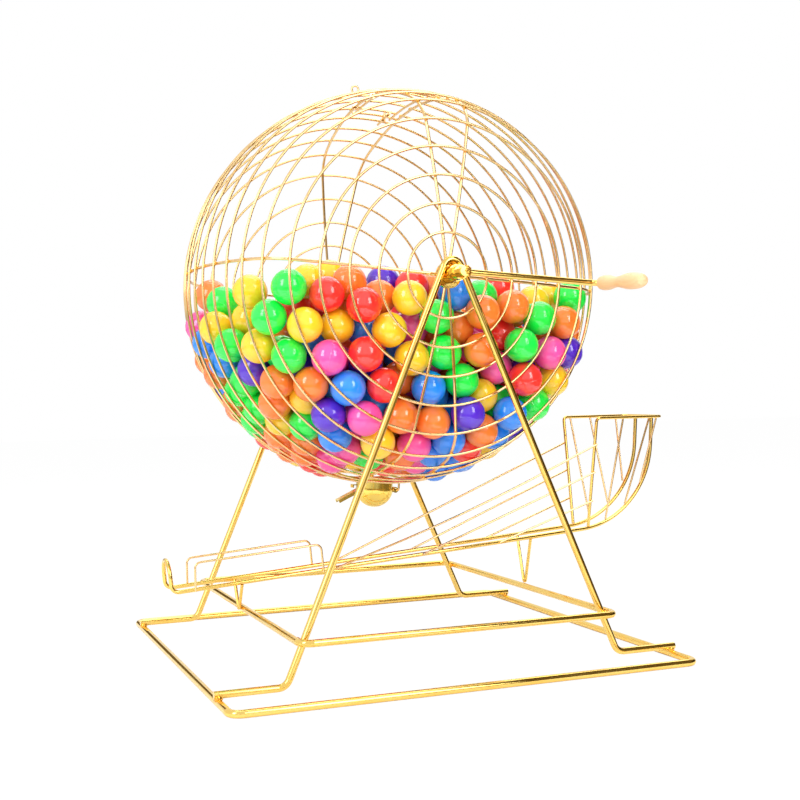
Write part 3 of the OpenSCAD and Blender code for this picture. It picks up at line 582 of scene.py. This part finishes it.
def hiddenTints(dice, places):
    layers = (ballsBehind, ballsInFront)
    listed = [(spot, tint) for layer in layers for tint, spots in layer.items() for spot in spots]
    names = list(hiddenShares)
    weights = np.array([hiddenShares[name] for name in names], float)
    tints = []
    for place in places.tolist():
        across, down = toPixel(place)
        gap, nearest = min((math.hypot(spot[0] - across, spot[1] - down), tint) for spot, tint in listed)
        drawn = str(dice.choice(names, p=weights / weights.sum()))
        tints.append(nearest if gap < ballPile["peepReach"] else drawn)
    return tints


def settleBalls():
    dice = np.random.default_rng(ballPile["seed"])
    eye = np.array(photoCamera["place"]) - np.array((0, 0, cage["axleZ"]))
    seated, rays, tints = seatSeenBalls(eye)
    places = np.concatenate([seated, looseGrid(dice, seated)])
    seen, wide = len(seated), 2 * ballPile["radius"]
    ceiling = ballPile["top"] - ballPile["radius"]
    for step in range(ballPile["steps"]):
        if step < ballPile["fallSteps"] * ballPile["steps"]:
            places[seen:, 2] -= ballPile["fall"]
            places[:seen] -= rays * ballPile["forward"]
        apart = places[:, None] - places[None]
        gaps = np.sqrt((apart ** 2).sum(axis=2)) + np.eye(len(places))
        push = np.where(gaps < wide, (wide - gaps) / gaps, 0)
        places += (apart * push[..., None]).sum(axis=1) * ballPile["spring"]
        along = ((places[:seen] - eye) * rays).sum(axis=1)
        firm = step < ballPile["holdSteps"] * ballPile["steps"]
        hold = ballPile["firmHold"] if firm else ballPile["looseHold"]
        places[:seen] += (eye + rays * along[:, None] - places[:seen]) * hold
        places = heldInCage(places)
        high = places[seen:, 2] > ceiling
        places[seen:, 2] = np.where(high, (places[seen:, 2] + ceiling) / 2, places[seen:, 2])
    places = places + np.array((0, 0, cage["axleZ"]))
    tints += hiddenTints(dice, places[seen:])
    return places, tints, dice


def placeMesh(name, bm, material, smooth):
    mesh = bpy.data.meshes.new(name)
    bm.to_mesh(mesh)
    bm.free()
    mesh.materials.append(material)
    for face in mesh.polygons:
        face.use_smooth = smooth
    placed = bpy.data.objects.new(name, mesh)
    bpy.context.scene.collection.objects.link(placed)
    return placed


def addPiece(name, bm, material, body):
    piece = placeMesh(name, bm, material, True)
    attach(piece, body)
    return piece


def makeBalls(tint, centres, dice):
    bm = bmesh.new()
    seamHeight = bm.verts.layers.float.new("seamHeight")
    ballTone = bm.verts.layers.float.new("ballTone")
    for centre in centres:
        placed = Matrix.Translation(centre)
        made = bmesh.ops.create_icosphere(
            bm, subdivisions=ballPile["roundness"], radius=ballPile["radius"], matrix=placed
        )
        # across the moulding line
        axis = Vector(dice.normal(size=3)).normalized()
        tone = dice.random()
        for vert in made["verts"]:
            vert[seamHeight] = (vert.co - Vector(centre)).dot(axis) / ballPile["radius"]
            vert[ballTone] = tone
    plastic = mouldedPlastic(tint + "Plastic", ballTints[tint], ballPlastic)
    piece = addPiece(tint + "Balls", bm, plastic, "stand")
    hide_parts(tint + "_balls")


places, tints, dice = settleBalls()
for tint in ballTints:
    chosen = [tuple(place) for place, given in zip(places.tolist(), tints) if given == tint]
    makeBalls(tint, chosen, dice)
print("balls settled:", len(places))


# Weld spots, where wires and rods meet

welds = {
    "ringSpot": 0.0023,
    "sunk": 0.0001,  # how far a spot's middle lies inside the ring's wire
    "uneven": 0.18,
    "roundness": 2,
    "seed": 3,
    "crankBeads": 14,
    "crankSpot": 0.0034,
    "crankSizes": (0.6, 0.5),  # the least share of that size, and what chance adds to it
    "crankRing": 0.0040,
    "crankSpread": (0.4, 0.6),  # the same for the distance from the middle
    "crankX": 0.0035,
    "crankY": -0.2530,
    "standSpots": [
        # where two rods of the stand meet, with y for one side only, and the spot's size
        ((0.2705, 0.2221, 0.0088), 0.0048),
        ((-0.2705, 0.2221, 0.0088), 0.0048),
        ((0.1845, 0.2221, 0.0598), 0.0040),
        ((-0.1845, 0.2221, 0.0598), 0.0040),
    ],
}


def addSpot(bm, dice, place, size):
    turned = Matrix.Rotation(dice.random() * math.tau, 4, Vector(dice.normal(size=3)).normalized())
    placed = Matrix.Translation(place) @ turned
    made = bmesh.ops.create_icosphere(
        bm, subdivisions=welds["roundness"], radius=size, matrix=placed
    )
    for vert in made["verts"]:
        vert.co += (vert.co - Vector(place)) * (dice.random() - 0.5) * welds["uneven"]


def makeRingWelds():
    dice = np.random.default_rng(welds["seed"])
    bm = bmesh.new()
    pair = cage["doorPair"]
    for i, (radius, y, lean) in enumerate(ringPlaces):
        inward = cage["ringWire"] / 2 + welds["sunk"]
        spotR, spotY = radius - inward * math.cos(lean), y - inward * math.sin(lean)
        angles = [0, cage["leftRib"], 90 - pair, 90 + pair]
        if i > 0:
            angles += [270 - pair, 270 + pair]
        for side in (-1, 1):
            for angle in angles:
                addSpot(bm, dice, cagePoint(spotR, side * spotY, angle), welds["ringSpot"])
    addPiece("ringWelds", bm, metals["weld"], "cage")


def makeStandWelds():
    dice = np.random.default_rng(welds["seed"] + 1)
    bm = bmesh.new()
    for (x, y, z), size in welds["standSpots"]:
        for side in (-1, 1):
            addSpot(bm, dice, Vector((x, side * y, z)), size)
    addPiece("standWelds", bm, metals["weld"], "stand")


def makeCrankWeld():
    # the lump that joins the arm to the end of the boss, in ragged beads
    dice = np.random.default_rng(welds["seed"] + 2)
    bm = bmesh.new()
    (leastSize, moreSize), (leastOut, moreOut) = welds["crankSizes"], welds["crankSpread"]
    for _ in range(welds["crankBeads"]):
        around = dice.random() * math.tau
        out = welds["crankRing"] * (leastOut + moreOut * dice.random())
        x = welds["crankX"] + out * math.cos(around)
        z = cage["axleZ"] + out * math.sin(around)
        size = welds["crankSpot"] * (leastSize + moreSize * dice.random())
        addSpot(bm, dice, Vector((x, welds["crankY"], z)), size)
    addPiece("crankWeld", bm, metals["weld"], "cage")


makeRingWelds()
makeStandWelds()
makeCrankWeld()
print("welds made")


# Studio: white floor and surround, soft lamps, and dark cards that only the polished metal reflects

studio = {
    "floorColour": 0.9,
    "floorSide": 16.0,
    "floorDrop": 0.0004,
    "floorWhite": 1.035,
    "cleanShare": 0.93,  # how much of the floor's shadow the white surround takes away
    "fill": 0.46,
    "mirrored": 0.92,  # the surround as polished metal reflects it
    "lamps": [
        # name, degrees from the front, height angle, distance, width, height, watts, seen in reflections
        ("overheadLamp", -10, 84, 2.6, 2.6, 2.4, 22, False),
        ("farStrip", 146, 42, 2.4, 2.2, 0.36, 8, True),
        ("middleStrip", 146, 62, 2.4, 2.2, 0.36, 8, True),
        ("nearStrip", 146, 82, 2.4, 2.2, 0.36, 8, True),
        ("leftWindow", -61, 22, 2.4, 0.70, 1.4, 15, True),
        ("rightWindow", 17, 22, 2.4, 0.65, 1.4, 14, True),
        ("frontSoftbox", -20, 26, 2.4, 2.4, 2.0, 30, False),
        ("leftSoftbox", -95, 20, 2.2, 1.2, 1.6, 9, False),
    ],
    "cards": [
        # name, middle, degrees its face is turned from the front, width, height, lies flat, how light
        ("darkCardRight", (2.9, -3.9, 3.0), 90, 9.2, 6.0, False, 1),
        ("darkestCardRight", (2.8, -0.9, 0.75), 90, 3.8, 1.5, False, 0.2),
        ("darkCardBack", (-0.85, 4.4, 0.95), -168, 1.25, 1.4, False, 1),
        ("darkPatchRight", (1.75, -1.5, 0.001), 50, 4.4, 3.3, True, 1),
        ("darkPatchLeft", (-1.5, -2.3, 0.0012), -33, 2.4, 3.2, True, 1),
    ],
    "cardColour": (0.20, 0.14, 0.05),
    "cardRough": 0.9,
    "aim": (0, 0, 0.4),
}


def flatSheet(name, size, placed, material):
    bm = bmesh.new()
    bmesh.ops.create_grid(bm, x_segments=1, y_segments=1, size=size, matrix=placed)
    sheet = placeMesh(name, bm, material, False)
    return sheet


def makeFloor():
    finish = Finish("paleFloor")
    colour = (*[studio["floorColour"]] * 3, 1)
    plain = finish.node("ShaderNodeBsdfDiffuse", None, {"Color": colour})
    glow = {"Color": (1, 1, 1, 1), "Strength": studio["floorWhite"]}
    white = finish.node("ShaderNodeEmission", None, glow)
    share = finish.node("ShaderNodeLightPath", out="Is Camera Ray") * studio["cleanShare"]
    finish.finishWith(finish.node("ShaderNodeMixShader", None, {0: share, 1: plain, 2: white}))
    placed = Matrix.Translation((0, 0, -studio["floorDrop"]))
    flatSheet("floor", studio["floorSide"] / 2, placed, finish.material)


def makeSurround():
    # white to the camera, and a little brighter than the fill to the metal
    finish = Finish("studioWorld", "worlds")
    rays = finish.node("ShaderNodeLightPath", out="Is Camera Ray")
    glossy = Tap(finish, rays.socket.node.outputs["Is Glossy Ray"])
    fill, mirrored, white = (
        finish.node("ShaderNodeBackground", None, {"Color": (1, 1, 1, 1), "Strength": strength})
        for strength in (studio["fill"], studio["mirrored"], 1.0)
    )
    around = finish.node("ShaderNodeMixShader", None, {0: glossy, 1: fill, 2: mirrored})
    seen = finish.node("ShaderNodeMixShader", None, {0: rays, 1: around, 2: white})
    finish.node("ShaderNodeOutputWorld", None, {"Surface": seen})
    bpy.context.scene.world = finish.material


def studioPlace(around, distance, height):
    turned = math.radians(around)
    return Vector((math.sin(turned) * distance, -math.cos(turned) * distance, height))


def facing(place, aim):
    return (Vector(aim) - place).to_track_quat("-Z", "Y").to_matrix().to_4x4()


def makeLamps():
    for name, around, lift, distance, width, height, watts, mirrored in studio["lamps"]:
        data = bpy.data.lights.new(name, "AREA")
        data.shape = "RECTANGLE"
        data.size = width
        data.size_y = height
        data.energy = watts
        lamp = bpy.data.objects.new(name, data)
        flat = distance * math.cos(math.radians(lift))
        place = studioPlace(around, flat, studio["aim"][2] + distance * math.sin(math.radians(lift)))
        lamp.matrix_world = Matrix.Translation(place) @ facing(place, studio["aim"])
        lamp.visible_glossy = mirrored
        bpy.context.scene.collection.objects.link(lamp)


def makeCards():
    for name, middle, around, width, height, flat, light in studio["cards"]:
        colour = (*(light * c for c in studio["cardColour"]), 1)
        material = Finish(name).surface({"Base Color": colour, "Roughness": studio["cardRough"]})
        back, across = studioPlace(around, 1, 0), studioPlace(around + 90, 1, 0)
        if flat:
            turned = Matrix((across, back, (0, 0, 1))).transposed().to_4x4()
        else:
            turned = facing(back, (0, 0, 0))
        scale = Matrix.Diagonal((width / 2, height / 2, 1, 1))
        card = flatSheet(name, 1, Matrix.Translation(middle) @ turned @ scale, material)
        card.visible_camera = False
        card.visible_diffuse = False
        card.visible_shadow = False


makeFloor()
makeSurround()
makeLamps()
makeCards()
bpy.context.scene.view_settings.view_transform = "Standard"
print("studio set up")
